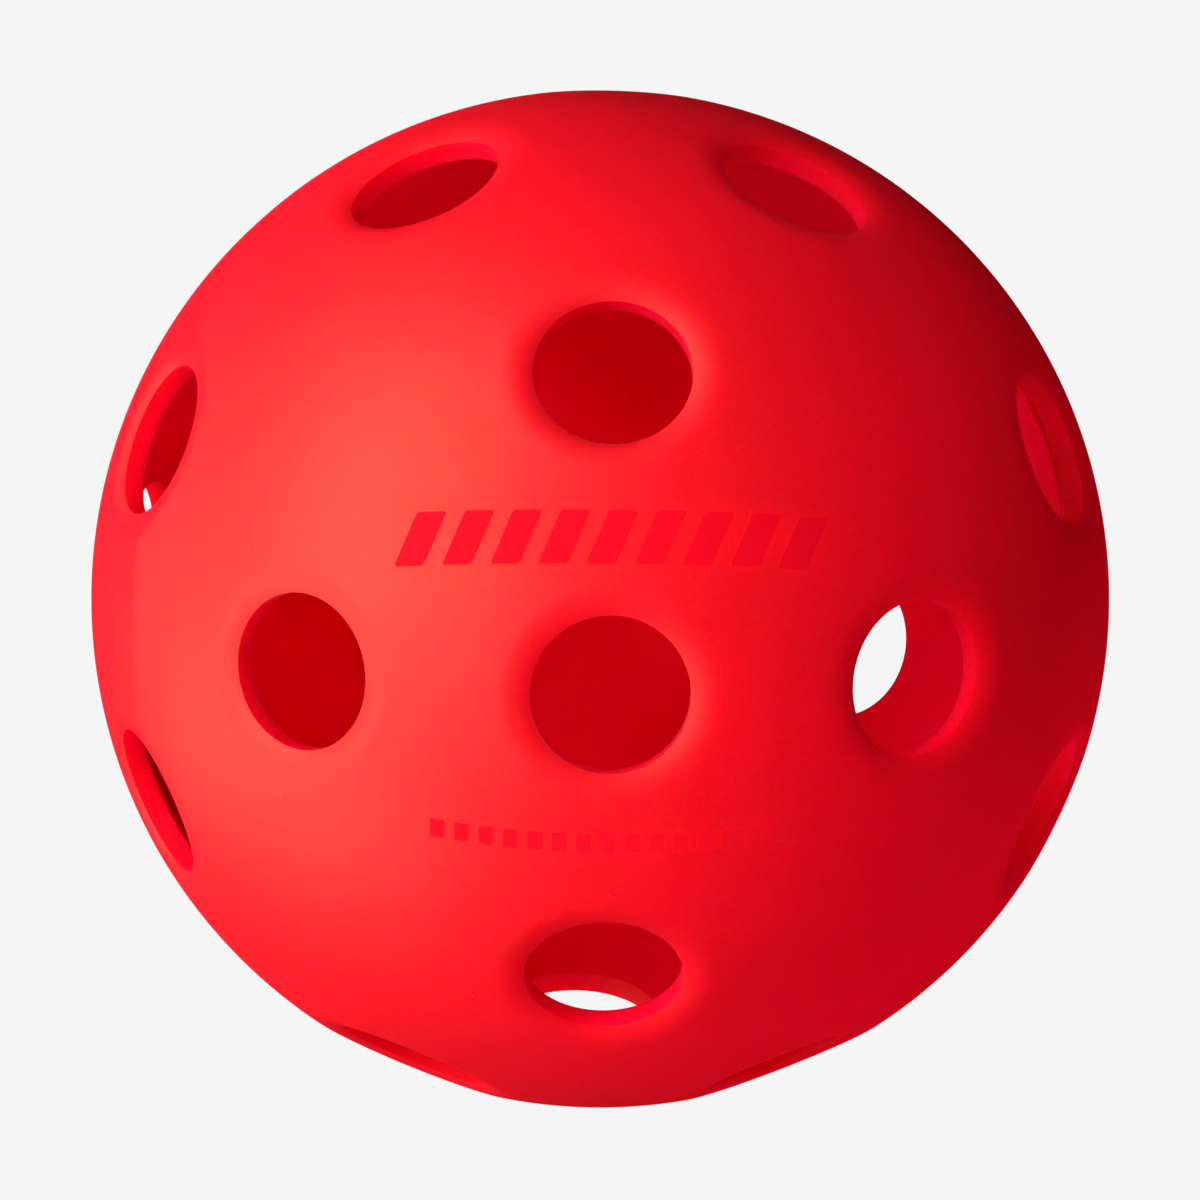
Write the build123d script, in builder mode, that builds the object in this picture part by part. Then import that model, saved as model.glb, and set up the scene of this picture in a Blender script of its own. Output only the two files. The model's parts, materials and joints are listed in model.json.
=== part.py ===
from build123d import *
import math
import os

# A perforated court ball, in millimetres and degrees.
# Two moulded half shells are welded along a stepped seam. The ball's centre is the origin and the
# poles of the halves lie on Y: the front half is the -Y side, the rear half is the +Y side.
ball_diameter = 74.0
wall = 2.05
hole_diameter = 11.23
inner_ring_angle = 36.75
outer_ring_angle = 73.15
half_turn = -22.5
weld_slip = -1.35

# The soft rounding where each hole meets the outer surface.
rim_width = 2.2
rim_drop = 0.58

# The stepped joint at the seam.
tongue_height = 1.0
tongue_thickness = 1.0
joint_gap = 0.03
seam_groove = 0.15
land_half_width = 2.0

# The ring of squeezed-out weld inside the seam.
bead_width = 1.8
bead_height = 0.7

# The printed marks.
ink_thickness = 0.05
band_bars = 9
band_width = 30.0
band_height = 3.8
band_slant = 1.6
band_bar_share = 0.62
band_elevation = 17.4
line_dashes = 15
line_width = 25.5
line_height = 1.4
line_dash_share = 0.6
line_elevation = -16.8

outer_radius = ball_diameter / 2
inner_radius = outer_radius - wall
hole_radius = hole_diameter / 2
land_radius = math.sqrt(inner_radius**2 - land_half_width**2)
land_angle = math.degrees(math.atan2(land_half_width, land_radius))
joint_radius = land_radius + tongue_thickness
groove_radius = math.sqrt(outer_radius**2 - seam_groove**2)
groove_angle = math.degrees(math.atan2(seam_groove, groove_radius))


def hole_directions(side, turn):
    """The 13 hole axes of one half: side is -1 for the front and 1 for the rear."""
    rings = [(0.0, 1, 0.0), (inner_ring_angle, 4, 0.0), (outer_ring_angle, 8, 22.5)]
    directions = []
    for polar, count, first in rings:
        for index in range(count):
            around = math.radians(first + turn + index * 360 / count)
            tilt = math.radians(polar)
            reach = math.sin(tilt)
            directions.append(Vector(-reach * math.sin(around), side * math.cos(tilt), reach * math.cos(around)))
    return directions


def hole_plane(direction):
    """A plane through the ball's centre whose Y runs along the hole."""
    across = direction.cross(Vector(0.31, 0.17, 0.94)).normalized()
    return Plane(origin=(0, 0, 0), x_dir=across, z_dir=across.cross(direction))


def sphere_height(radius, reach):
    return math.sqrt(radius**2 - reach**2)


# One hole's cutter in its own plane: a straight bore and a wide shallow flare at the outer face.
rim_reach = hole_radius + rim_width
rim_top = sphere_height(outer_radius, rim_reach)
rim_foot = sphere_height(outer_radius, hole_radius) - rim_drop
cut_margin_inside = 4.0
cut_margin_outside = 1.0
cut_bottom = inner_radius - cut_margin_inside
cut_top = outer_radius + cut_margin_outside


def cut_hole(direction):
    with BuildSketch(hole_plane(direction)) as hole_profile:
        with BuildLine():
            flare = TangentArc(
                (rim_reach, rim_top), (hole_radius, rim_foot), tangent=(-rim_top, rim_reach)
            )
            Polyline(
                flare @ 1,
                (hole_radius, cut_bottom),
                (0, cut_bottom),
                (0, cut_top),
                (rim_reach, cut_top),
                flare @ 0,
            )
        make_face()
    revolve(hole_profile.sketch, axis=Axis((0, 0, 0), direction), mode=Mode.SUBTRACT)


with BuildPart() as front_half_shell:
    with BuildSketch(Plane.XY):
        with BuildLine():
            CenterArc((0, 0), outer_radius, -90, 90 - groove_angle)
            Polyline(
                (groove_radius, -seam_groove),
                (groove_radius - seam_groove, 0),
                (joint_radius, 0),
                (joint_radius, tongue_height),
                (land_radius, tongue_height),
                (land_radius, -land_half_width),
            )
            CenterArc((0, 0), inner_radius, -90, 90 - land_angle)
            Line((0, -inner_radius), (0, -outer_radius))
        make_face()
    revolve(axis=Axis.Y)
    for direction in hole_directions(-1, 0.0):
        cut_hole(direction)
front_half_shell.part.label = "front_half_shell"

with BuildPart() as rear_half_shell:
    with BuildSketch(Plane.XY):
        with BuildLine():
            CenterArc((0, 0), outer_radius, groove_angle, 90 - groove_angle)
            Polyline(
                (groove_radius, seam_groove),
                (groove_radius - seam_groove, 0),
                (joint_radius + joint_gap, 0),
                (joint_radius + joint_gap, tongue_height + joint_gap),
                (land_radius, tongue_height + joint_gap),
                (land_radius, land_half_width),
            )
            CenterArc((0, 0), inner_radius, land_angle, 90 - land_angle)
            Line((0, inner_radius), (0, outer_radius))
        make_face()
    revolve(axis=Axis.Y)
    for direction in hole_directions(1, half_turn + weld_slip):
        cut_hole(direction)
rear_half_shell.part.label = "rear_half_shell"

with BuildPart() as weld_bead:
    with BuildSketch(Plane.XY):
        with BuildLine():
            Line(
                (land_radius, tongue_height - bead_width / 2),
                (land_radius, tongue_height + bead_width / 2),
            )
            ThreePointArc(
                (land_radius, tongue_height + bead_width / 2),
                (land_radius - bead_height, tongue_height),
                (land_radius, tongue_height - bead_width / 2),
            )
        make_face()
    revolve(axis=Axis.Y)
weld_bead.part.label = "weld_bead"


def print_plane(elevation):
    """A plane at the ball's centre facing the printing pad, which comes from the front."""
    lift = math.radians(elevation)
    return Plane(origin=(0, 0, 0), x_dir=(1, 0, 0), z_dir=(0, -math.cos(lift), math.sin(lift)))


def ink_layer():
    """Keep only the part of the pad's marks that lies in the film on the outer surface."""
    with BuildSketch(Plane.XY) as film_profile:
        with BuildLine():
            CenterArc((0, 0), outer_radius + ink_thickness, -90, 90)
            CenterArc((0, 0), outer_radius, -90, 90)
            Line((outer_radius, 0), (outer_radius + ink_thickness, 0))
            Line((0, -outer_radius), (0, -outer_radius - ink_thickness))
        make_face()
    revolve(film_profile.sketch, axis=Axis.Y, mode=Mode.INTERSECT)


with BuildPart() as printed_band:
    with BuildSketch(print_plane(band_elevation)):
        pitch = band_width / band_bars
        bar = pitch * band_bar_share
        with GridLocations(pitch, 0, band_bars, 1):
            Polygon(
                (-bar / 2 - band_slant / 2, -band_height / 2),
                (bar / 2 - band_slant / 2, -band_height / 2),
                (bar / 2 + band_slant / 2, band_height / 2),
                (-bar / 2 + band_slant / 2, band_height / 2),
                align=None,
            )
    extrude(amount=ball_diameter)
    ink_layer()
printed_band.part.label = "printed_band"

with BuildPart() as printed_line:
    with BuildSketch(print_plane(line_elevation)):
        pitch = line_width / line_dashes
        with GridLocations(pitch, 0, line_dashes, 1):
            Rectangle(pitch * line_dash_share, line_height)
    extrude(amount=ball_diameter)
    ink_layer()
printed_line.part.label = "printed_line"

os.makedirs("parts", exist_ok=True)
export_step(front_half_shell.part, "parts/front_half_shell.step")
export_step(rear_half_shell.part, "parts/rear_half_shell.step")
export_step(weld_bead.part, "parts/weld_bead.step")
export_step(printed_band.part, "parts/printed_band.step")
export_step(printed_line.part, "parts/printed_line.step")
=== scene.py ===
"""A perforated court ball, built by an add-on's operators: two half shells, their weld and two prints."""

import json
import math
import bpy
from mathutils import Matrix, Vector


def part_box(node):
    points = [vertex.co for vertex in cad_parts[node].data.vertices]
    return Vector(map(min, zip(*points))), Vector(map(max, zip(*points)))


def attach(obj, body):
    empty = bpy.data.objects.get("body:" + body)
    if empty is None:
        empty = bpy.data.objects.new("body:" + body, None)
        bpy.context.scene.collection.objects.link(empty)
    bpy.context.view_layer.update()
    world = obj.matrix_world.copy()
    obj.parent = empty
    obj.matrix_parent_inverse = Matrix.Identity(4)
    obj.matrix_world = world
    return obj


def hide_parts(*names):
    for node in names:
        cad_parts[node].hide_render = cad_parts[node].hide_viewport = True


bl_info = {
    "name": "Perforated Court Ball",
    "version": (1, 0, 0),
    "blender": (4, 5, 0),
    "location": "3D View > Sidebar > Court Ball",
    "description": "Models a hollow perforated court ball from its half shells, weld and prints",
    "category": "Add Mesh",
}

import bmesh
import bpy
from mathutils import Matrix, Vector, noise

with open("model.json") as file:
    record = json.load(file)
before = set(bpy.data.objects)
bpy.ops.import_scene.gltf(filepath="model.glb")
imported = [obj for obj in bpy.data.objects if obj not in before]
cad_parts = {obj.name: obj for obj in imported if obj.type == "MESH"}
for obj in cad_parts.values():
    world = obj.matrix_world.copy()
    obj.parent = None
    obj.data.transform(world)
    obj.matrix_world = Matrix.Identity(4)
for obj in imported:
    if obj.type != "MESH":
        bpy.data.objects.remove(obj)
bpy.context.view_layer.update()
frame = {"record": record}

BODY = "root"
MILLIMETRE = 0.001
FULL_TURN = 2 * math.pi

# Each half's rings of holes: which polar angle, how many holes, and where the first one stands.
POLE_HOLE = ("pole", 1, 0.0)
INNER_RING = ("inner", 4, 0.0)
OUTER_RING = ("outer", 8, math.radians(22.5))

# Half the width of the straight band inside the seam, on which the weld bead stands.
LAND_WIDTH = 0.002

bore_mount = next(m for m in frame["record"]["mounts"] if m["name"] == "pole_bore")
shell_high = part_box("front_half_shell")[1]
bead_low, bead_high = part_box("weld_bead")
ball_radius = round(shell_high.z, 5)
cavity_radius = math.hypot(bead_high.z, LAND_WIDTH)


class BallSizes(bpy.types.PropertyGroup):
    """The ball's driving sizes, in metres and radians."""

    radius: bpy.props.FloatProperty(
        name="Radius", description="Outer radius of the ball", default=ball_radius, unit="LENGTH"
    )
    wall: bpy.props.FloatProperty(
        name="Wall",
        description="Thickness of the moulded shell",
        default=ball_radius - cavity_radius,
        unit="LENGTH",
    )
    hole_radius: bpy.props.FloatProperty(
        name="Hole radius",
        description="Radius of the straight bore of each hole",
        default=bore_mount["dims"]["r_mm"] * MILLIMETRE,
        unit="LENGTH",
    )
    rim_width: bpy.props.FloatProperty(
        name="Rim width",
        description="Width of the flare round each hole",
        default=0.0022,
        unit="LENGTH",
    )
    rim_drop: bpy.props.FloatProperty(
        name="Rim drop",
        description="Depth of the flare at the bore",
        default=0.00058,
        unit="LENGTH",
    )
    inner_ring: bpy.props.FloatProperty(
        name="Inner ring",
        description="Angle from the pole to the ring of four holes",
        default=math.radians(36.75),
        unit="ROTATION",
    )
    outer_ring: bpy.props.FloatProperty(
        name="Outer ring",
        description="Angle from the pole to the ring of eight holes",
        default=math.radians(73.15),
        unit="ROTATION",
    )
    rear_turn: bpy.props.FloatProperty(
        name="Rear turn",
        description="Turn of the rear half's holes against the front half's",
        default=math.radians(-23.85),
        unit="ROTATION",
    )
    rear_pole_lean: bpy.props.FloatProperty(
        name="Rear pole lean",
        description="The rear half's middle pin stands a little low",
        default=math.radians(-0.5),
        unit="ROTATION",
    )
    tongue_height: bpy.props.FloatProperty(
        name="Tongue height",
        description="How far the front half's tongue reaches past the seam",
        default=shell_high.y,
        unit="LENGTH",
    )
    tongue_width: bpy.props.FloatProperty(
        name="Tongue width",
        description="Thickness of the seam's tongue",
        default=0.001,
        unit="LENGTH",
    )
    joint_gap: bpy.props.FloatProperty(
        name="Joint gap", description="Clearance round the tongue", default=0.00003, unit="LENGTH"
    )
    land_width: bpy.props.FloatProperty(
        name="Land width",
        description="Half width of the straight land inside the seam",
        default=LAND_WIDTH,
        unit="LENGTH",
    )
    groove_width: bpy.props.FloatProperty(
        name="Groove width",
        description="Half width of the seam's groove",
        default=0.00045,
        unit="LENGTH",
    )
    groove_depth: bpy.props.FloatProperty(
        name="Groove depth",
        description="Depth of the seam's groove",
        default=0.00016,
        unit="LENGTH",
    )
    burr: bpy.props.FloatProperty(
        name="Burr",
        description="Largest height of the ragged burr in a hole",
        default=0.00012,
        unit="LENGTH",
    )
    bead_height: bpy.props.FloatProperty(
        name="Bead height",
        description="How far the weld bead stands into the cavity",
        default=0.0007,
        unit="LENGTH",
    )


class PrintSizes(bpy.types.PropertyGroup):
    """The two pad-printed marks, in metres and radians."""

    thickness: bpy.props.FloatProperty(
        name="Ink", description="Thickness of the ink film", default=0.00003, unit="LENGTH"
    )
    band_bars: bpy.props.IntProperty(
        name="Bars", description="Slanted bars in the upper mark", default=9
    )
    band_width: bpy.props.FloatProperty(
        name="Band width", description="Width of the upper mark", default=0.030, unit="LENGTH"
    )
    band_height: bpy.props.FloatProperty(
        name="Band height", description="Height of the upper mark", default=0.0038, unit="LENGTH"
    )
    band_slant: bpy.props.FloatProperty(
        name="Slant", description="Sideways lean of each bar", default=0.0016, unit="LENGTH"
    )
    band_share: bpy.props.FloatProperty(
        name="Bar share",
        description="Part of each pitch that a bar fills",
        default=0.62,
        subtype="FACTOR",
    )
    band_elevation: bpy.props.FloatProperty(
        name="Band elevation",
        description="Where the pad meets the ball",
        default=math.radians(17.4),
        unit="ROTATION",
    )
    line_dashes: bpy.props.IntProperty(
        name="Dashes", description="Dashes in the lower mark", default=15
    )
    line_width: bpy.props.FloatProperty(
        name="Line width", description="Width of the lower mark", default=0.0255, unit="LENGTH"
    )
    line_height: bpy.props.FloatProperty(
        name="Line height", description="Height of the lower mark", default=0.0014, unit="LENGTH"
    )
    line_share: bpy.props.FloatProperty(
        name="Dash share",
        description="Part of each pitch that a dash fills",
        default=0.6,
        subtype="FACTOR",
    )
    line_elevation: bpy.props.FloatProperty(
        name="Line elevation",
        description="Where the pad meets the ball",
        default=math.radians(-16.8),
        unit="ROTATION",
    )


class BallFinish(bpy.types.PropertyGroup):
    """The ball's colours, and the fineness of its surface."""

    shell: bpy.props.FloatVectorProperty(
        name="Shell",
        description="Coral red of the moulding",
        subtype="COLOR",
        default=(0.87, 0.0, 0.015),
    )
    shell_deep: bpy.props.FloatVectorProperty(
        name="Shell, deeper",
        description="Deeper clouds in the red",
        subtype="COLOR",
        default=(0.83, 0.0, 0.013),
    )
    # Partly the plastic's own mottle, partly painted sheen: the stipple's raised tips are painted paler.
    grain: bpy.props.FloatVectorProperty(
        name="Grain",
        description="The paler tips of the stipple",
        subtype="COLOR",
        default=(0.92, 0.014, 0.024),
    )
    # Painted glint: the pips are real bumps, and this pale colour on them stands in for light catching
    # them.
    pip_glint: bpy.props.FloatVectorProperty(
        name="Pip",
        description="Tiny pale pips left by the mould",
        subtype="COLOR",
        default=(1.0, 0.12, 0.10),
    )
    speck: bpy.props.FloatVectorProperty(
        name="Speck", description="Rare dark specks", subtype="COLOR", default=(0.25, 0.0, 0.003)
    )
    ink: bpy.props.FloatVectorProperty(
        name="Ink",
        description="Deeper red of the prints",
        subtype="COLOR",
        default=(0.88, 0.0, 0.014),
    )
    ink_thin: bpy.props.FloatVectorProperty(
        name="Ink, thin",
        description="Where the ink lies thinner",
        subtype="COLOR",
        default=(0.82, 0.0, 0.012),
    )
    stipple: bpy.props.FloatProperty(
        name="Stipple", description="Size of the fine stipple", default=0.00028, unit="LENGTH"
    )


class BallStage(bpy.types.PropertyGroup):
    """The camera, the floor and the light."""

    distance: bpy.props.FloatProperty(
        name="Distance",
        description="From the camera to the ball's centre",
        default=0.7948,
        unit="LENGTH",
    )
    azimuth: bpy.props.FloatProperty(
        name="Azimuth",
        description="Camera's turn to the right",
        default=math.radians(-1.3),
        unit="ROTATION",
    )
    elevation: bpy.props.FloatProperty(
        name="Elevation",
        description="Camera's height",
        default=math.radians(10.7),
        unit="ROTATION",
    )
    roll: bpy.props.FloatProperty(
        name="Roll", description="Camera's roll", default=math.radians(0.885), unit="ROTATION"
    )
    lens: bpy.props.FloatProperty(name="Lens", description="Focal length in millimetres", default=327.65)
    floor_drop: bpy.props.FloatProperty(
        name="Floor drop",
        description="From the ball's centre down to the floor",
        default=0.25,
        unit="LENGTH",
    )
    paper: bpy.props.FloatVectorProperty(
        name="Paper",
        description="Pale grey of the floor and the studio",
        subtype="COLOR",
        default=(0.913, 0.913, 0.913),
    )
    brightness: bpy.props.FloatProperty(
        name="Brightness",
        description="Strength of all the lamps together",
        default=1.0,
        subtype="FACTOR",
    )


# ---------------------------------------------------------------- selecting and finishing


def deselect():
    for item in bpy.context.selected_objects:
        item.select_set(False)


def make_active(piece):
    deselect()
    piece.select_set(True)
    bpy.context.view_layer.objects.active = piece


def select_where(piece, domain, test):
    """Select the piece's vertices or faces that pass the test, in object mode."""
    bpy.ops.object.mode_set(mode="EDIT")
    bpy.ops.mesh.select_mode(type="VERT" if domain == "vertices" else "FACE")
    bpy.ops.mesh.select_all(action="DESELECT")
    bpy.ops.object.mode_set(mode="OBJECT")
    for item in getattr(piece.data, domain):
        item.select = test(item)


def apply_modifier(piece, kind, **settings):
    modifier = piece.modifiers.new(kind.lower(), kind)
    for name, value in settings.items():
        setattr(modifier, name, value)
    bpy.ops.object.modifier_apply(modifier=modifier.name)


def copy_piece(pattern):
    """A copy with its own mesh."""
    piece = pattern.copy()
    piece.data = pattern.data.copy()
    bpy.context.collection.objects.link(piece)
    return piece


def join(pieces):
    make_active(pieces[0])
    for piece in pieces[1:]:
        piece.select_set(True)
    bpy.ops.object.join()
    return bpy.context.object


def close_mesh(piece, distance):
    """Merge what meets, turn the faces outwards, and refuse a mesh that is still open."""
    make_active(piece)
    bpy.ops.object.mode_set(mode="EDIT")
    bpy.ops.mesh.select_all(action="SELECT")
    bpy.ops.mesh.remove_doubles(threshold=distance)
    bpy.ops.mesh.normals_make_consistent(inside=False)
    bpy.ops.object.mode_set(mode="OBJECT")
    shape = bmesh.new()
    shape.from_mesh(piece.data)
    loose = sum(1 for edge in shape.edges if not edge.is_manifold)
    volume = shape.calc_volume(signed=True)
    shape.free()
    if loose or volume <= 0:
        raise RuntimeError(f"{piece.name}: {loose} open edges, volume {volume}")


SHARP_ANGLE = math.radians(32)


def finish_piece(piece, name, node, material):
    """Name, smooth and coat a piece, hang it on the ball's body, and hide the CAD node it replaces."""
    make_active(piece)
    piece.name = name
    piece.data.name = name
    bpy.ops.object.shade_smooth_by_angle(angle=SHARP_ANGLE)
    piece.data.materials.clear()
    piece.data.materials.append(material)
    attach(piece, BODY)
    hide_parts(node)


# ---------------------------------------------------------------- the half shells


def hole_directions(sizes, side):
    """The axes of one half's 13 holes; side is -1 for the front half and 1 for the rear."""
    polar = {"pole": 0.0, "inner": sizes.inner_ring, "outer": sizes.outer_ring}
    turn = sizes.rear_turn if side > 0 else 0.0
    directions = []
    for ring, count, first in (POLE_HOLE, INNER_RING, OUTER_RING):
        if side > 0 and ring == "pole":
            lean = sizes.rear_pole_lean
            directions.append(Vector((0, math.cos(lean), math.sin(lean))))
            continue
        reach, rise = math.sin(polar[ring]), math.cos(polar[ring])
        for index in range(count):
            around = first + turn + index * FULL_TURN / count
            directions.append(Vector((-reach * math.sin(around), side * rise, reach * math.cos(around))))
    return directions


def upright(direction):
    """The turn that takes Z onto a hole's axis."""
    return direction.to_track_quat("Z", "Y")


def off_axis(point, direction):
    """How far a point stands from a hole's axis."""
    return (point - direction * point.dot(direction)).length


def sphere_height(radius, away):
    """Height of a sphere's surface at a distance from its axis."""
    return math.sqrt(radius**2 - away**2)


# A shell's face is hulled from a coarse cage: a sphere's points, a circle round each hole and one
# round the seam. Every edge is then cut into SUBDIVISIONS and the whole is rounded.
SPHERE_LEVEL = 4
HOLE_CAGE = 18
SEAM_CAGE = 48
SUBDIVISIONS = 8
HOLE_STEPS = HOLE_CAGE * SUBDIVISIONS
SEAM_STEPS = SEAM_CAGE * SUBDIVISIONS
# How far the sphere's own points keep from a hole's edge, in radians, and from the seam, in metres.
CAGE_CLEARANCE = 0.05
SEAM_CLEARANCE = 0.0022
# A hull face this near the seam's plane, or this much inside a hole's circle, is a lid.
LID_FLATNESS = MILLIMETRE / 20
LID_SHARE = 0.999
# An open edge within this share of a hole's radius belongs to the hole, and any other to the seam.
HOLE_EDGE_SHARE = 1.1


def sphere_sheet(radius, reach, seam, directions, side):
    """One face of a half shell, with an open circle of the given reach round each hole."""
    height = sphere_height(radius, reach)
    seam_radius = sphere_height(radius, seam)
    limit = math.asin(reach / radius) + CAGE_CLEARANCE
    deselect()
    bpy.ops.mesh.primitive_ico_sphere_add(subdivisions=SPHERE_LEVEL, radius=radius)
    sheet = bpy.context.object

    def unwanted(vertex):
        past_seam = side * vertex.co.y < side * seam + SEAM_CLEARANCE
        return past_seam or any(vertex.co.angle(direction) < limit for direction in directions)

    select_where(sheet, "vertices", unwanted)
    bpy.ops.object.mode_set(mode="EDIT")
    bpy.ops.mesh.delete(type="VERT")
    for direction in directions:
        bpy.ops.mesh.primitive_circle_add(
            vertices=HOLE_CAGE,
            radius=reach,
            location=direction * height,
            rotation=upright(direction).to_euler(),
        )
    bpy.ops.mesh.primitive_circle_add(
        vertices=SEAM_CAGE, radius=seam_radius, location=(0, seam, 0), rotation=(FULL_TURN / 4, 0, 0)
    )
    bpy.ops.mesh.select_all(action="SELECT")
    bpy.ops.mesh.convex_hull(use_existing_faces=False, make_holes=False, join_triangles=False)
    bpy.ops.object.mode_set(mode="OBJECT")

    def lid(face):
        flat_seam = side * face.center.y < side * seam + LID_FLATNESS
        return flat_seam or any(
            face.center.dot(direction) > 0 and off_axis(face.center, direction) < reach * LID_SHARE
            for direction in directions
        )

    select_where(sheet, "polygons", lid)
    bpy.ops.object.mode_set(mode="EDIT")
    bpy.ops.mesh.delete(type="FACE")
    bpy.ops.mesh.select_all(action="SELECT")
    bpy.ops.mesh.subdivide(number_cuts=SUBDIVISIONS - 1)
    bpy.ops.object.mode_set(mode="OBJECT")
    apply_modifier(sheet, "CAST", factor=1.0, radius=0.0, size=radius, use_radius_as_size=False)
    snap_edges(sheet, reach, height, seam, seam_radius, directions)
    return sheet


def snap_edges(sheet, reach, height, seam, seam_radius, directions):
    """Put the sheet's open edges exactly on the hole circles and on the seam circle."""
    shape = bmesh.new()
    shape.from_mesh(sheet.data)
    for vertex in shape.verts:
        if not vertex.is_boundary:
            continue
        axis = max(directions, key=vertex.co.dot)
        if off_axis(vertex.co, axis) < reach * HOLE_EDGE_SHARE and vertex.co.dot(axis) > 0:
            outward = (vertex.co - axis * vertex.co.dot(axis)).normalized()
            vertex.co = axis * height + outward * reach
        else:
            outward = Vector((vertex.co.x, 0, vertex.co.z)).normalized()
            vertex.co = outward * seam_radius + Vector((0, seam, 0))
    shape.to_mesh(sheet.data)
    shape.free()


FLARE_STEPS = 8
EDGE_BREAK = 0.00004
BURR_DEPTH = 0.00007
# How far the ring round each hole's inner end reaches past the bore.
INNER_MARGIN = 0.0005


def flare_foot(sizes):
    """How high up a hole's axis the flare meets the bore."""
    return sphere_height(sizes.radius, sizes.hole_radius) - sizes.rim_drop


def bore_top(sizes):
    """How far from the ball's centre a bore's outer edge lies, at the foot of the flare."""
    return math.hypot(flare_foot(sizes), sizes.hole_radius)


def rim_profile(sizes, inner_reach):
    """Points (away from the hole's axis, height) from the outer face down the bore to the inner face."""
    outer_reach = sizes.hole_radius + sizes.rim_width
    inner_radius = sizes.radius - sizes.wall
    foot = flare_foot(sizes)
    start = Vector((outer_reach, sphere_height(sizes.radius, outer_reach)))
    end = Vector((sizes.hole_radius, foot))
    normal = start.normalized()
    span = start - end
    arc_radius = span.length_squared / (2 * span.dot(normal))
    centre = start - normal * arc_radius
    first = math.atan2(start.y - centre.y, start.x - centre.x)
    last = math.atan2(end.y - centre.y, end.x - centre.x)
    points = []
    for index in range(FLARE_STEPS + 1):
        angle = first + (last - first) * index / FLARE_STEPS
        points.append(centre + arc_radius * Vector((math.cos(angle), math.sin(angle))))
    edge = sphere_height(inner_radius, sizes.hole_radius)
    for height in (foot - BURR_DEPTH, foot - 3 * BURR_DEPTH, (foot + edge) / 2, edge + EDGE_BREAK):
        points.append(Vector((sizes.hole_radius, height)))
    for reach in (sizes.hole_radius + EDGE_BREAK, inner_reach):
        points.append(Vector((reach, sphere_height(inner_radius, reach))))
    return points


# Merging distances: a spun line's ends, a shell's rims and sheets, the bead, and a print's bars.
MERGE_SPUN = MILLIMETRE / 1000
MERGE_SHELL = MILLIMETRE / 120
MERGE_BEAD = MILLIMETRE / 200
MERGE_FILM = MILLIMETRE / 1000


def spun_profile(points, steps, axis):
    """Extrude a line through the points (away, along), then spin it once round the axis."""
    deselect()
    side_step = Vector((0, 1, 0)) if axis == "Z" else Vector((1, 0, 0))
    along = Vector((0, 0, 1)) if axis == "Z" else Vector((0, 1, 0))
    places = [side_step * point[0] + along * point[1] for point in points]
    bpy.ops.mesh.primitive_plane_add(size=MILLIMETRE, location=places[0])
    piece = bpy.context.object
    bpy.ops.object.transform_apply(location=True, rotation=True, scale=True)
    bpy.ops.object.mode_set(mode="EDIT")
    bpy.ops.mesh.select_mode(type="VERT")
    bpy.ops.mesh.select_all(action="SELECT")
    bpy.ops.mesh.merge(type="CENTER")
    bpy.ops.mesh.select_all(action="SELECT")
    for before, place in zip(places, places[1:]):
        bpy.ops.mesh.extrude_vertices_move(TRANSFORM_OT_translate={"value": place - before})
    bpy.ops.mesh.select_all(action="SELECT")
    bpy.ops.mesh.spin(steps=steps, angle=FULL_TURN, center=(0, 0, 0), axis=along)
    bpy.ops.mesh.select_all(action="SELECT")
    bpy.ops.mesh.remove_doubles(threshold=MERGE_SPUN)
    bpy.ops.object.mode_set(mode="OBJECT")
    return piece


# Lumps per millimetre of the ragged burr: where it is strong, its teeth, and the fuzz on them.
BURR_PATCHES = 0.35
BURR_TEETH = 2.6
BURR_FUZZ = 6.0
BURR_FUZZ_SHARE = 0.25
# The burr is lower at the flare's foot than in the bore's first ring.
BURR_FOOT_SHARE = 0.45
BORE_TOLERANCE = 1.001
SEED_STEP = 0.01


def roughen_burr(rim, sizes, seed):
    """Raise the thin ragged burr left where the flare meets the bore; it differs from hole to hole."""
    foot = flare_foot(sizes)
    for vertex in rim.data.vertices:
        depth = foot - vertex.co.z
        away = math.hypot(vertex.co.x, vertex.co.y)
        if away > sizes.hole_radius * BORE_TOLERANCE or depth > 2 * BURR_DEPTH:
            continue
        place = Vector((vertex.co.x, vertex.co.y, seed * SEED_STEP)) / MILLIMETRE
        coarse = 0.5 + 0.5 * noise.noise(place * BURR_PATCHES)
        fuzz = BURR_FUZZ_SHARE * noise.noise(place * BURR_FUZZ)
        fine = max(0.0, noise.noise(place * BURR_TEETH) + fuzz)
        lift = sizes.burr * fine * coarse * (1.0 if depth > BURR_DEPTH / 2 else BURR_FOOT_SHARE)
        scale = (away - lift) / away
        vertex.co.x *= scale
        vertex.co.y *= scale


# Where the seam's groove gets its points, as shares of its half width.
GROOVE_SHARES = (1.0, 0.6, 0.3, 0.1)


def seam_profile(sizes, side):
    """Points (away, along Y) from the outer face round the stepped joint to the inner face."""
    inner_radius = sizes.radius - sizes.wall
    land = sphere_height(inner_radius, sizes.land_width)
    step = land + sizes.tongue_width
    reach = sizes.tongue_height
    if side > 0:
        step += sizes.joint_gap
        reach += sizes.joint_gap
    points = []
    for share in GROOVE_SHARES:
        along = side * sizes.groove_width * share
        away = sphere_height(sizes.radius, along) - sizes.groove_depth * (1 - share) ** 2
        points.append((away, along))
    points.append((sizes.radius - sizes.groove_depth - EDGE_BREAK, 0.0))
    points.append((step, 0.0))
    points.append((step, reach))
    points.append((land, reach))
    points.append((land, side * sizes.land_width))
    return points


# Hole seeds are the hole's number, moved by this on each side so that no two burrs are alike.
SIDE_SEED = 20


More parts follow.
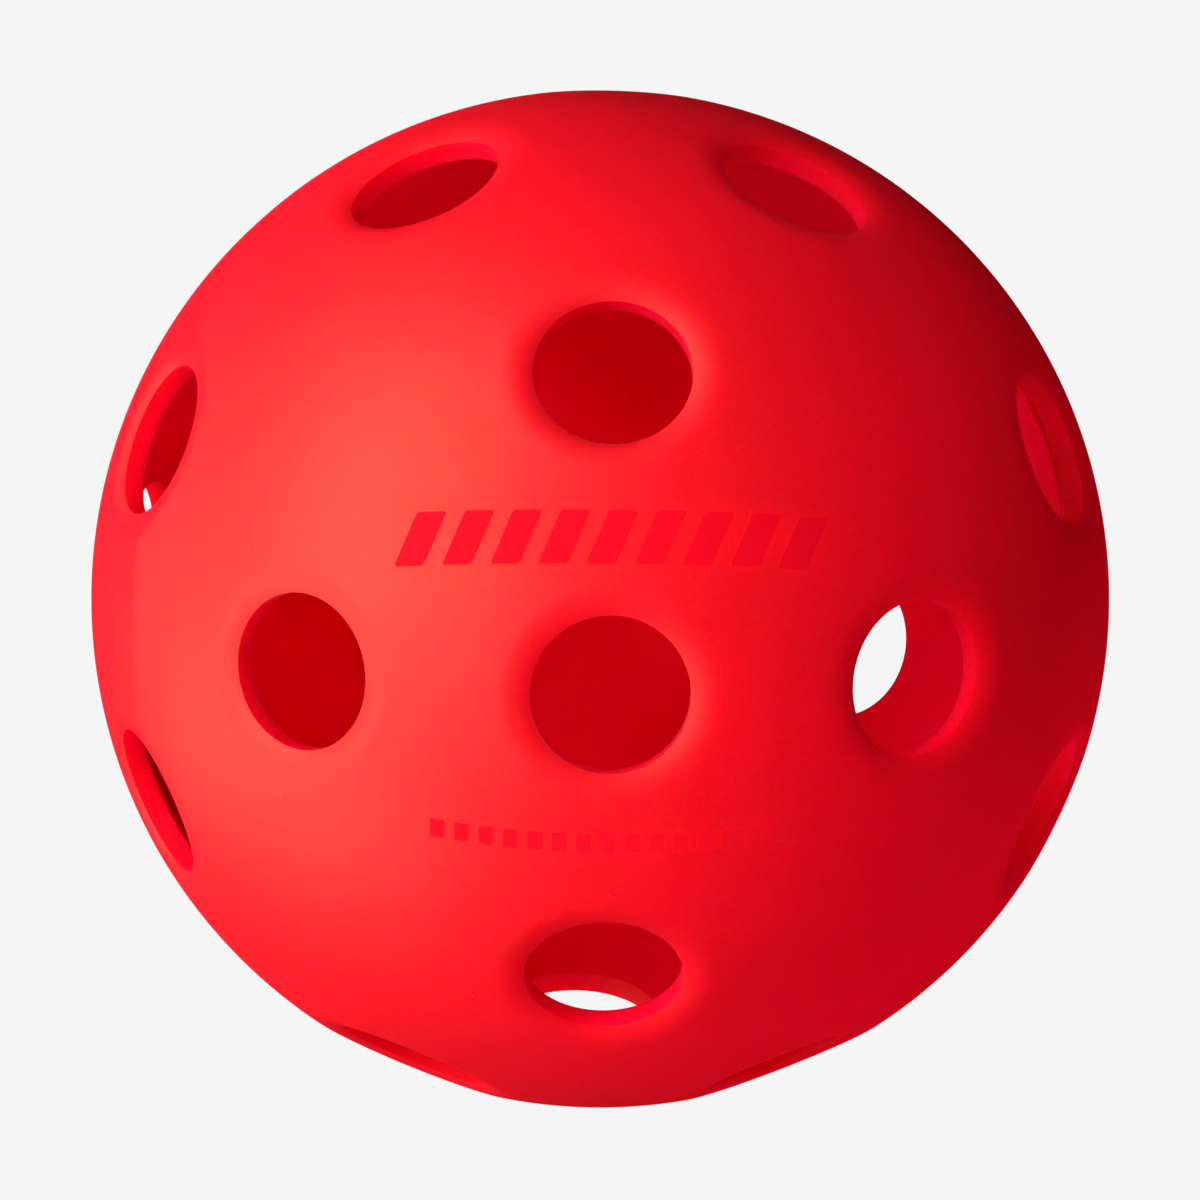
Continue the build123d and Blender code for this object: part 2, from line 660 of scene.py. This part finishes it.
def build_half_shell(sizes, side):
    """Join the outer and inner faces, the seam and a rim at each hole into one closed shell."""
    directions = hole_directions(sizes, side)
    inner_radius = sizes.radius - sizes.wall
    outer_reach = sizes.hole_radius + sizes.rim_width
    inner_reach = sizes.hole_radius + INNER_MARGIN
    outer = sphere_sheet(sizes.radius, outer_reach, side * sizes.groove_width, directions, side)
    inner = sphere_sheet(inner_radius, inner_reach, side * sizes.land_width, directions, side)
    pattern = spun_profile(rim_profile(sizes, inner_reach), HOLE_STEPS, "Z")
    pieces = [outer, inner, spun_profile(seam_profile(sizes, side), SEAM_STEPS, "Y")]
    for index, direction in enumerate(directions):
        rim = copy_piece(pattern)
        roughen_burr(rim, sizes, index + SIDE_SEED * side)
        rim.data.transform(upright(direction).to_matrix().to_4x4())
        pieces.append(rim)
    bpy.data.objects.remove(pattern)
    shell = join(pieces)
    close_mesh(shell, MERGE_SHELL)
    return shell


SKIN, BORE, CORE = range(3)
FACE_MARGIN = MILLIMETRE / 30


def sort_faces(shell, sizes):
    """Give the skin, the bores and the cavity their slots by the distance from the ball's centre."""
    skin_radius = bore_top(sizes) - FACE_MARGIN
    core_radius = sizes.radius - sizes.wall + FACE_MARGIN
    for face in shell.data.polygons:
        away = face.center.length
        if away > skin_radius:
            face.material_index = SKIN
        elif away > core_radius:
            face.material_index = BORE
        else:
            face.material_index = CORE


# ---------------------------------------------------------------- the weld bead


BEAD_STEPS = 9
# The bead's foot, lower than this, keeps its place on the land.
BEAD_FOOT = MILLIMETRE / 50
BEAD_SHARE = 0.86
# Uneven height: share of the bead's height, and lumps per millimetre.
BEAD_RIPPLES = ((0.24, 0.16), (0.12, 0.7))


def bead_profile(away, middle, half_width, height):
    """A closed half-round section standing on the inner land."""
    points = []
    for index in range(BEAD_STEPS + 1):
        angle = math.pi * index / BEAD_STEPS
        points.append((away - height * math.sin(angle), middle + half_width * math.cos(angle)))
    points.append(points[0])
    return points


def ripple_bead(bead, away):
    """Squeezed-out plastic stands up unevenly; its foot stays on the land."""
    for vertex in bead.data.vertices:
        radius = math.hypot(vertex.co.x, vertex.co.z)
        height = away - radius
        if height < BEAD_FOOT:
            continue
        place = vertex.co / MILLIMETRE
        lift = sum(share * noise.noise(place * lumps) for share, lumps in BEAD_RIPPLES)
        scale = (away - height * (BEAD_SHARE + lift)) / radius
        vertex.co.x *= scale
        vertex.co.z *= scale


# ---------------------------------------------------------------- the prints


# A bar's rounded corners, as a share of its narrower side, and the longest strip it is cut into.
CORNER_ROUND = 0.12
CORNER_SEGMENTS = 3
FILM_CUT = 0.0006
# The pad starts this many ball radii out, and leaves the film this far off the shell.
PAD_START = 1.2
FILM_LIFT = MILLIMETRE / 500


def print_bar(width, height, slant):
    """One flat bar with rounded corners, cut into strips so that it can follow the ball."""
    deselect()
    bpy.ops.mesh.primitive_plane_add(size=1)
    bar = bpy.context.object
    bpy.ops.object.mode_set(mode="EDIT")
    bpy.ops.transform.resize(value=(width, height, 1))
    bpy.ops.object.mode_set(mode="OBJECT")
    for vertex in bar.data.vertices:
        vertex.co.x += slant * vertex.co.y / height
    bpy.ops.object.mode_set(mode="EDIT")
    bpy.ops.mesh.select_all(action="SELECT")
    corner = min(width, height) * CORNER_ROUND
    bpy.ops.mesh.bevel(affect="VERTICES", offset=corner, segments=CORNER_SEGMENTS)
    for reach, normal in ((height / 2, (0, 1, 0)), ((width + abs(slant)) / 2, (1, 0, 0))):
        cuts = int(2 * reach / FILM_CUT)
        for index in range(1, cuts):
            bpy.ops.mesh.select_all(action="SELECT")
            place = Vector(normal) * (-reach + 2 * reach * index / cuts)
            bpy.ops.mesh.bisect(plane_co=place, plane_no=normal)
    bpy.ops.object.mode_set(mode="OBJECT")
    return bar


def print_film(count, pitch, width, height, slant, lift, thickness, shell):
    """A row of bars pressed onto the shell by a pad that comes from the front."""
    pattern = print_bar(width, height, slant)
    facing = Matrix.Rotation(FULL_TURN / 4 - lift, 4, "X")
    bars = []
    for index in range(count):
        bar = copy_piece(pattern)
        aside = (index - (count - 1) / 2) * pitch
        bar.data.transform(facing @ Matrix.Translation((aside, 0, ball_radius * PAD_START)))
        bars.append(bar)
    bpy.data.objects.remove(pattern)
    film = join(bars)
    pad = facing.to_3x3() @ Vector((0, 0, 1))
    press_onto(film, shell, pad)
    apply_modifier(film, "SOLIDIFY", thickness=thickness, offset=1.0)
    close_mesh(film, MERGE_FILM)
    return film


def press_onto(film, shell, pad):
    """Move each point of the film along the pad's stroke until it meets the shell."""
    for vertex in film.data.vertices:
        hit, place, normal, _ = shell.ray_cast(vertex.co, -pad)
        if not hit:
            raise RuntimeError(f"the print misses the shell at {vertex.co}")
        vertex.co = place + normal * FILM_LIFT


# ---------------------------------------------------------------- finishes


class Wire:
    """A shader socket's value, on which sums and products are written as in ordinary maths."""

    def __init__(self, shading, socket):
        self.shading = shading
        self.socket = socket

    def maths(self, operation, other):
        inputs = {0: self, 1: other}
        return self.shading.add("ShaderNodeMath", {"operation": operation}, inputs, "Value")

    def __add__(self, other):
        return self.maths("ADD", other)

    __radd__ = __add__

    def __mul__(self, other):
        return self.maths("MULTIPLY", other)

    __rmul__ = __mul__

    def below(self, limit):
        """1 where the value is below the limit, and 0 elsewhere."""
        return self.maths("LESS_THAN", limit)

    def ramp(self, low, high):
        """0 below low, 1 above high, and smooth between; low may be the larger."""
        inputs = {"Value": self, "From Min": low, "From Max": high}
        settings = {"interpolation_type": "SMOOTHSTEP", "clamp": True}
        return self.shading.add("ShaderNodeMapRange", settings, inputs, "Result")


# A Mix node's colour sockets, by number because its other kinds of socket have the same names.
MIX_SHARE = 0
MIX_FIRST = 6
MIX_SECOND = 7
MIX_RESULT = 2


class Shading:
    """The nodes of one material, or of the world, that feed the named shader."""

    def __init__(self, owner, shader="Principled BSDF"):
        owner.use_nodes = True
        self.owner = owner
        self.nodes = owner.node_tree.nodes
        self.links = owner.node_tree.links
        self.shader = self.nodes[shader]

    def put(self, node, name, value):
        socket = node.inputs[name]
        if isinstance(value, Wire):
            self.links.new(value.socket, socket)
        elif socket.type == "RGBA" and len(value) == 3:
            socket.default_value = (*value, 1)
        else:
            socket.default_value = value

    def add(self, kind, settings, inputs, output):
        """Add a node, set it up, fill its sockets, and return one of its outputs."""
        node = self.nodes.new(kind)
        for name, value in settings.items():
            setattr(node, name, value)
        for name, value in inputs.items():
            self.put(node, name, value)
        return Wire(self, node.outputs[output])

    def place(self):
        """The point on the piece, in metres."""
        return self.add("ShaderNodeTexCoord", {}, {}, "Object")

    def cloud(self, place, size, detail=2.0, rough=0.5):
        """Noise from 0 to 1 whose lumps are about the given size, in metres."""
        inputs = {"Vector": place, "Scale": 1 / size, "Detail": detail, "Roughness": rough}
        return self.add("ShaderNodeTexNoise", {}, inputs, "Fac")

    def cells(self, place, size, output):
        """Cells of about the given size: the distance to a cell's middle, or its chance colour."""
        inputs = {"Vector": place, "Scale": 1 / size}
        return self.add("ShaderNodeTexVoronoi", {}, inputs, output)

    def blend(self, share, first, second):
        """Mix two colours: the first at a share of 0, the second at 1."""
        inputs = {MIX_SHARE: share, MIX_FIRST: first, MIX_SECOND: second}
        return self.add("ShaderNodeMix", {"data_type": "RGBA"}, inputs, MIX_RESULT)

    def relief(self, height, depth, under=None):
        """Bump by a height from 0 to 1 that stands for a depth in metres."""
        inputs = {"Height": height, "Distance": depth, "Strength": 1.0}
        if under is not None:
            inputs["Normal"] = under
        return self.add("ShaderNodeBump", {}, inputs, "Normal")

    def surface(self, **inputs):
        """Fill the shader's sockets, and return the material or the world."""
        for name, value in inputs.items():
            self.put(self.shader, name.replace("_", " "), value)
        return self.owner


# Part of a speck's radius that is fully dark, before its edge fades.
SPECK_HEART = 0.4


def specks(shading, place, size, share, radius):
    """Round spots of the given radius in a share of the cells of the given size."""
    away = shading.cells(place, size, "Distance")
    colour = shading.cells(place, size, "Color")
    chance = shading.add("ShaderNodeSeparateColor", {}, {"Color": colour}, "Red")
    return away.ramp(radius / size, SPECK_HEART * radius / size) * chance.below(share)


# What light does inside the plastic, wherever it enters.
PLASTIC = {
    "Subsurface_Weight": 1.0,
    "Subsurface_Radius": (1.0, 0.12, 0.08),
    "Subsurface_Scale": 0.0025,
}

# The mould's steel polishes the outer skin, the pins scuff the bores, and the cavity stays dull.
# Each part's red, green and blue are multiplied by its factors here; on the bore and the cavity they are
# painted light.
SHELL_GLOSS = {"skin": 0.5, "bore": 0.05, "core": 0.0}
# Painted light: the bore and the cavity are the same plastic as the skin. The bore's red is dimmed a
# little
# as painted shadow in the recess, and the blue of both is raised as a painted tint of the light bouncing
# inside.
SHELL_PAINTED_LIGHT = {"skin": (1.0, 1.0, 1.0), "bore": (0.97, 1.0, 1.5), "core": (1.0, 1.0, 2.5)}


def shell_material(finish, part):
    """Matte coral polyethylene: a fine stipple, soft sink waves, and a rare speck."""
    name = "moulded_polyethylene_" + part
    if name in bpy.data.materials:
        return bpy.data.materials[name]
    shading = Shading(bpy.data.materials.new(name))
    place = shading.place()
    clouds = shading.cloud(place, size=0.011, detail=3.0)
    grain = shading.cloud(place, size=finish.stipple, rough=0.6)
    peel = shading.cloud(place, size=6 * finish.stipple)
    waves = shading.cloud(place, size=0.007, detail=1.0)
    dark = specks(shading, place, size=0.0052, share=0.05, radius=0.00016)
    pips_and_glints = specks(shading, place, size=0.0023, share=0.10, radius=0.00013)
    # Painted light: a dimmer red on the bore, and more blue on the bore and the cavity.
    painted_light = Vector(SHELL_PAINTED_LIGHT[part])
    bright = tuple(Vector(finish.shell) * painted_light)
    deep = tuple(Vector(finish.shell_deep) * painted_light)
    colour = shading.blend(clouds.ramp(0.3, 0.7), bright, deep)
    # Painted sheen, mixed with the plastic's own mottle: the stipple's raised tips are painted paler.
    colour = shading.blend(grain.ramp(0.42, 0.72) * 0.5, colour, finish.grain)
    # Painted glint on the real pips: they are painted pale, as where light catches them.
    colour = shading.blend(pips_and_glints * 0.5, colour, finish.pip_glint)
    colour = shading.blend(dark * 0.75, colour, finish.speck)
    normal = shading.relief(waves, depth=0.00012)
    normal = shading.relief(peel, depth=0.000010, under=normal)
    normal = shading.relief(grain * 0.7 + pips_and_glints * 1.4, depth=0.000018, under=normal)
    return shading.surface(
        Base_Color=colour,
        Roughness=0.45 + 0.10 * grain,
        Normal=normal,
        Specular_IOR_Level=SHELL_GLOSS[part],
        **PLASTIC,
    )


def weld_material(finish):
    """The same plastic, remelted: smoother, a little deeper in colour."""
    shading = Shading(bpy.data.materials.new("remelted_polyethylene"))
    lumps = shading.cloud(shading.place(), size=0.0009, detail=3.0)
    colour = shading.blend(lumps.ramp(0.35, 0.7), finish.shell_deep, finish.shell)
    return shading.surface(
        Base_Color=colour,
        Roughness=0.34 + 0.14 * lumps,
        Normal=shading.relief(lumps, depth=0.00005),
        Specular_IOR_Level=0.1,
        **PLASTIC,
    )


def ink_material(finish):
    """Thin matte pad-print ink, with the shell's grain showing through."""
    if "pad_print_ink" in bpy.data.materials:
        return bpy.data.materials["pad_print_ink"]
    shading = Shading(bpy.data.materials.new("pad_print_ink"))
    place = shading.place()
    grain = shading.cloud(place, size=finish.stipple, rough=0.6)
    blotch = shading.cloud(place, size=0.0014, detail=3.0)
    holes = specks(shading, place, size=0.0009, share=0.06, radius=0.00007)
    colour = shading.blend(blotch.ramp(0.35, 0.75) * 0.35, finish.ink, finish.ink_thin)
    colour = shading.blend(holes * 0.8, colour, finish.shell)
    return shading.surface(
        Base_Color=colour,
        Roughness=0.62 + 0.12 * grain,
        Normal=shading.relief(grain, depth=0.000005),
        Specular_IOR_Level=0.08,
    )


# ---------------------------------------------------------------- the stage


# Soft round lamps, all LAMP_AWAY metres from the ball: name, degrees to the right of the camera,
# degrees above it, size in metres and power in watts. A wash lights the red of the plastic.
LAMP_AWAY = 1.0
WASHES = (
    ("wash_key_high", -30, 25, 0.35, 6.8),
    ("wash_key_left", -60, 0, 0.35, 7.7),
    ("wash_front", 0, 5, 0.70, 2.3),
    ("wash_under", 0, -85, 0.70, 5.2),
    ("wash_behind", -125, 5, 0.70, 14.5),
    ("wash_low_right", 50, -40, 0.70, 1.1),
    ("wash_back_right", 140, -5, 0.70, 5.0),
)
# A sheen is seen only as the soft gloss on the skin.
SHEENS = (
    ("sheen_low_left", -75, -35, 0.70, 3.4),
    ("sheen_high_front", -40, 35, 0.70, 3.6),
    ("sheen_front", -32, 0, 0.35, 1.9),
    ("sheen_left", -58, 0, 0.35, 2.9),
    ("sheen_left_high", -60, 25, 0.35, 1.8),
    ("sheen_side_high", -80, 40, 0.70, 0.95),
    ("sheen_side", -90, 0, 0.70, 1.05),
    ("sheen_low_front", -32, -25, 0.35, 0.7),
    ("sheen_back_low", -105, -20, 0.35, 1.1),
    ("sheen_behind", -125, 5, 0.70, 1.1),
)
WASH_COLOUR = (1.0, 1.0, 1.0)
SHEEN_COLOUR = (1.0, 1.0, 0.53)


def add_lamp(context, lamp, back, right, colour, brightness):
    """Hang one lamp on its side of the ball, facing it, out of the camera's sight."""
    name, aside, above, size, power = lamp
    turn = math.radians(aside)
    lift = math.radians(above)
    level = right * math.sin(turn) + back * math.cos(turn)
    facing = level * math.cos(lift) + back.cross(right) * math.sin(lift)
    data = bpy.data.lights.new(name, "AREA")
    data.shape = "DISK"
    data.size = size
    data.energy = power * brightness
    data.color = colour
    item = bpy.data.objects.new(name, data)
    context.collection.objects.link(item)
    item.location = facing * LAMP_AWAY
    item.rotation_mode = "QUATERNION"
    item.rotation_quaternion = facing.to_track_quat("Z", "Y")
    item.visible_camera = False
    return item


SENSOR_WIDTH = 36
LENS_SHIFT = (-0.00017, -0.00117)


def add_camera(context, back, stage):
    """Aim the camera at the ball's centre from the stage's side and height."""
    data = bpy.data.cameras.new("camera")
    camera = bpy.data.objects.new("camera", data)
    context.collection.objects.link(camera)
    camera.location = back * stage.distance
    camera.rotation_mode = "QUATERNION"
    facing = (-back).to_track_quat("-Z", "Y")
    camera.rotation_quaternion = facing @ Matrix.Rotation(stage.roll, 4, "Z").to_quaternion()
    data.sensor_width = SENSOR_WIDTH
    data.lens = stage.lens
    data.shift_x, data.shift_y = LENS_SHIFT
    context.scene.camera = camera


FLOOR_SIZE = 8
FLECK_SIZE = 0.4
FLECK_TONE = 0.997
# How much of the studio's brightness falls on the ball from all round.
AMBIENT = 0.084


def add_floor(drop, paper):
    """A floor of pale paper that looks evenly bright and adds no light to the ball."""
    deselect()
    bpy.ops.mesh.primitive_plane_add(size=FLOOR_SIZE, location=(0, 0, -drop))
    floor = bpy.context.object
    floor.name = "floor"
    floor.visible_diffuse = False
    floor.visible_glossy = False
    floor.visible_shadow = False
    shading = Shading(bpy.data.materials.new("paper_floor"))
    fleck = shading.cloud(shading.place(), size=FLECK_SIZE, detail=1.0)
    tone = shading.blend(fleck, paper, tuple(FLECK_TONE * part for part in paper))
    coat = shading.surface(
        Base_Color=(0.0, 0.0, 0.0),
        Specular_IOR_Level=0.0,
        Emission_Color=tone,
        Emission_Strength=1.0,
    )
    floor.data.materials.append(coat)


def add_studio(paper):
    """The same paper all round: bright to the eye, with only its AMBIENT share on the ball."""
    shading = Shading(bpy.data.worlds.new("studio"), "Background")
    seen = shading.add("ShaderNodeLightPath", {}, {}, "Is Camera Ray")
    soft = shading.add("ShaderNodeLightPath", {}, {}, "Is Diffuse Ray")
    bpy.context.scene.world = shading.surface(Color=paper, Strength=seen + AMBIENT * soft)


# ---------------------------------------------------------------- operators


class COURTBALL_OT_half_shell(bpy.types.Operator):
    """Model one moulded half shell with its 13 flared holes and its side of the stepped seam"""

    bl_idname = "courtball.half_shell"
    bl_label = "Half Shell"
    side: bpy.props.EnumProperty(
        name="Side",
        description="Which half of the ball",
        items=[
            ("FRONT", "Front", "The half on the -Y side"),
            ("REAR", "Rear", "The half on the +Y side"),
        ],
    )

    def execute(self, context):
        sizes = context.scene.ball_sizes
        front = self.side == "FRONT"
        shell = build_half_shell(sizes, -1 if front else 1)
        name = "front_half_shell" if front else "rear_half_shell"
        finish = context.scene.ball_finish
        finish_piece(shell, name + "_moulding", name, shell_material(finish, "skin"))
        # The bore and the cavity get copies of the plastic tinted with painted light.
        for part in ("bore", "core"):
            shell.data.materials.append(shell_material(finish, part))
        sort_faces(shell, sizes)
        return {"FINISHED"}


class COURTBALL_OT_weld_bead(bpy.types.Operator):
    """Model the ring of remelted plastic squeezed out inside the seam"""

    bl_idname = "courtball.weld_bead"
    bl_label = "Weld Bead"

    def execute(self, context):
        sizes = context.scene.ball_sizes
        middle = (bead_low.y + bead_high.y) / 2
        half_width = (bead_high.y - bead_low.y) / 2
        section = bead_profile(bead_high.z, middle, half_width, sizes.bead_height)
        bead = spun_profile(section, SEAM_STEPS, "Y")
        ripple_bead(bead, bead_high.z)
        close_mesh(bead, MERGE_BEAD)
        material = weld_material(context.scene.ball_finish)
        finish_piece(bead, "weld_bead_flash", "weld_bead", material)
        return {"FINISHED"}


class COURTBALL_OT_print(bpy.types.Operator):
    """Pad-print one of the two generic marks on the front half"""

    bl_idname = "courtball.print"
    bl_label = "Print"
    mark: bpy.props.EnumProperty(
        name="Mark",
        description="Which mark",
        items=[
            ("BAND", "Band", "The upper row of slanted bars"),
            ("LINE", "Line", "The lower row of dashes"),
        ],
    )

    def execute(self, context):
        sizes = context.scene.ball_prints
        if self.mark == "BAND":
            node, lift = "printed_band", sizes.band_elevation
            pitch = sizes.band_width / sizes.band_bars
            width = pitch * sizes.band_share
            bars = (sizes.band_bars, pitch, width, sizes.band_height, sizes.band_slant)
        else:
            node, lift = "printed_line", sizes.line_elevation
            pitch = sizes.line_width / sizes.line_dashes
            width = pitch * sizes.line_share
            bars = (sizes.line_dashes, pitch, width, sizes.line_height, 0.0)
        shell = bpy.data.objects["front_half_shell_moulding"]
        film = print_film(*bars, lift, sizes.thickness, shell)
        finish_piece(film, node + "_ink", node, ink_material(context.scene.ball_finish))
        # So thin a film still lets light into the plastic under it.
        film.visible_shadow = False
        return {"FINISHED"}


class COURTBALL_OT_stage(bpy.types.Operator):
    """Add the floor, the soft studio light and the camera"""

    bl_idname = "courtball.stage"
    bl_label = "Stage"

    def execute(self, context):
        stage = context.scene.ball_stage
        add_floor(stage.floor_drop, stage.paper)
        add_studio(stage.paper)
        aside, ahead = math.sin(stage.azimuth), math.cos(stage.azimuth)
        level = math.cos(stage.elevation)
        back = Vector((aside * level, -ahead * level, math.sin(stage.elevation)))
        right = Vector((ahead, aside, 0))
        add_camera(context, back, stage)
        for lamp in WASHES:
            item = add_lamp(context, lamp, back, right, WASH_COLOUR, stage.brightness)
            item.visible_glossy = False
        for lamp in SHEENS:
            item = add_lamp(context, lamp, back, right, SHEEN_COLOUR, stage.brightness)
            item.visible_diffuse = False
        context.scene.view_settings.view_transform = "Standard"
        return {"FINISHED"}


class COURTBALL_PT_panel(bpy.types.Panel):
    """The court ball's pieces, sizes and colours"""

    bl_idname = "COURTBALL_PT_panel"
    bl_label = "Court Ball"
    bl_space_type = "VIEW_3D"
    bl_region_type = "UI"
    bl_category = "Court Ball"

    def draw(self, context):
        layout = self.layout
        layout.operator("courtball.half_shell", text="Front Half Shell").side = "FRONT"
        layout.operator("courtball.half_shell", text="Rear Half Shell").side = "REAR"
        layout.operator("courtball.weld_bead")
        layout.operator("courtball.print", text="Printed Band").mark = "BAND"
        layout.operator("courtball.print", text="Printed Line").mark = "LINE"
        layout.operator("courtball.stage")
        scene = context.scene
        for group in (scene.ball_sizes, scene.ball_prints, scene.ball_finish, scene.ball_stage):
            box = layout.box()
            for name in group.__annotations__:
                box.prop(group, name)


groups = {
    "ball_sizes": BallSizes,
    "ball_prints": PrintSizes,
    "ball_finish": BallFinish,
    "ball_stage": BallStage,
}
classes = (
    COURTBALL_OT_half_shell,
    COURTBALL_OT_weld_bead,
    COURTBALL_OT_print,
    COURTBALL_OT_stage,
    COURTBALL_PT_panel,
)


def register():
    for name, group in groups.items():
        bpy.utils.register_class(group)
        setattr(bpy.types.Scene, name, bpy.props.PointerProperty(type=group))
    for item in classes:
        bpy.utils.register_class(item)


def unregister():
    for item in reversed(classes):
        bpy.utils.unregister_class(item)
    for name, group in groups.items():
        delattr(bpy.types.Scene, name)
        bpy.utils.unregister_class(group)


def main():
    register()
    bpy.ops.courtball.half_shell(side="FRONT")
    bpy.ops.courtball.half_shell(side="REAR")
    bpy.ops.courtball.weld_bead()
    bpy.ops.courtball.print(mark="BAND")
    bpy.ops.courtball.print(mark="LINE")
    bpy.ops.courtball.stage()


if __name__ == "__main__":
    main()
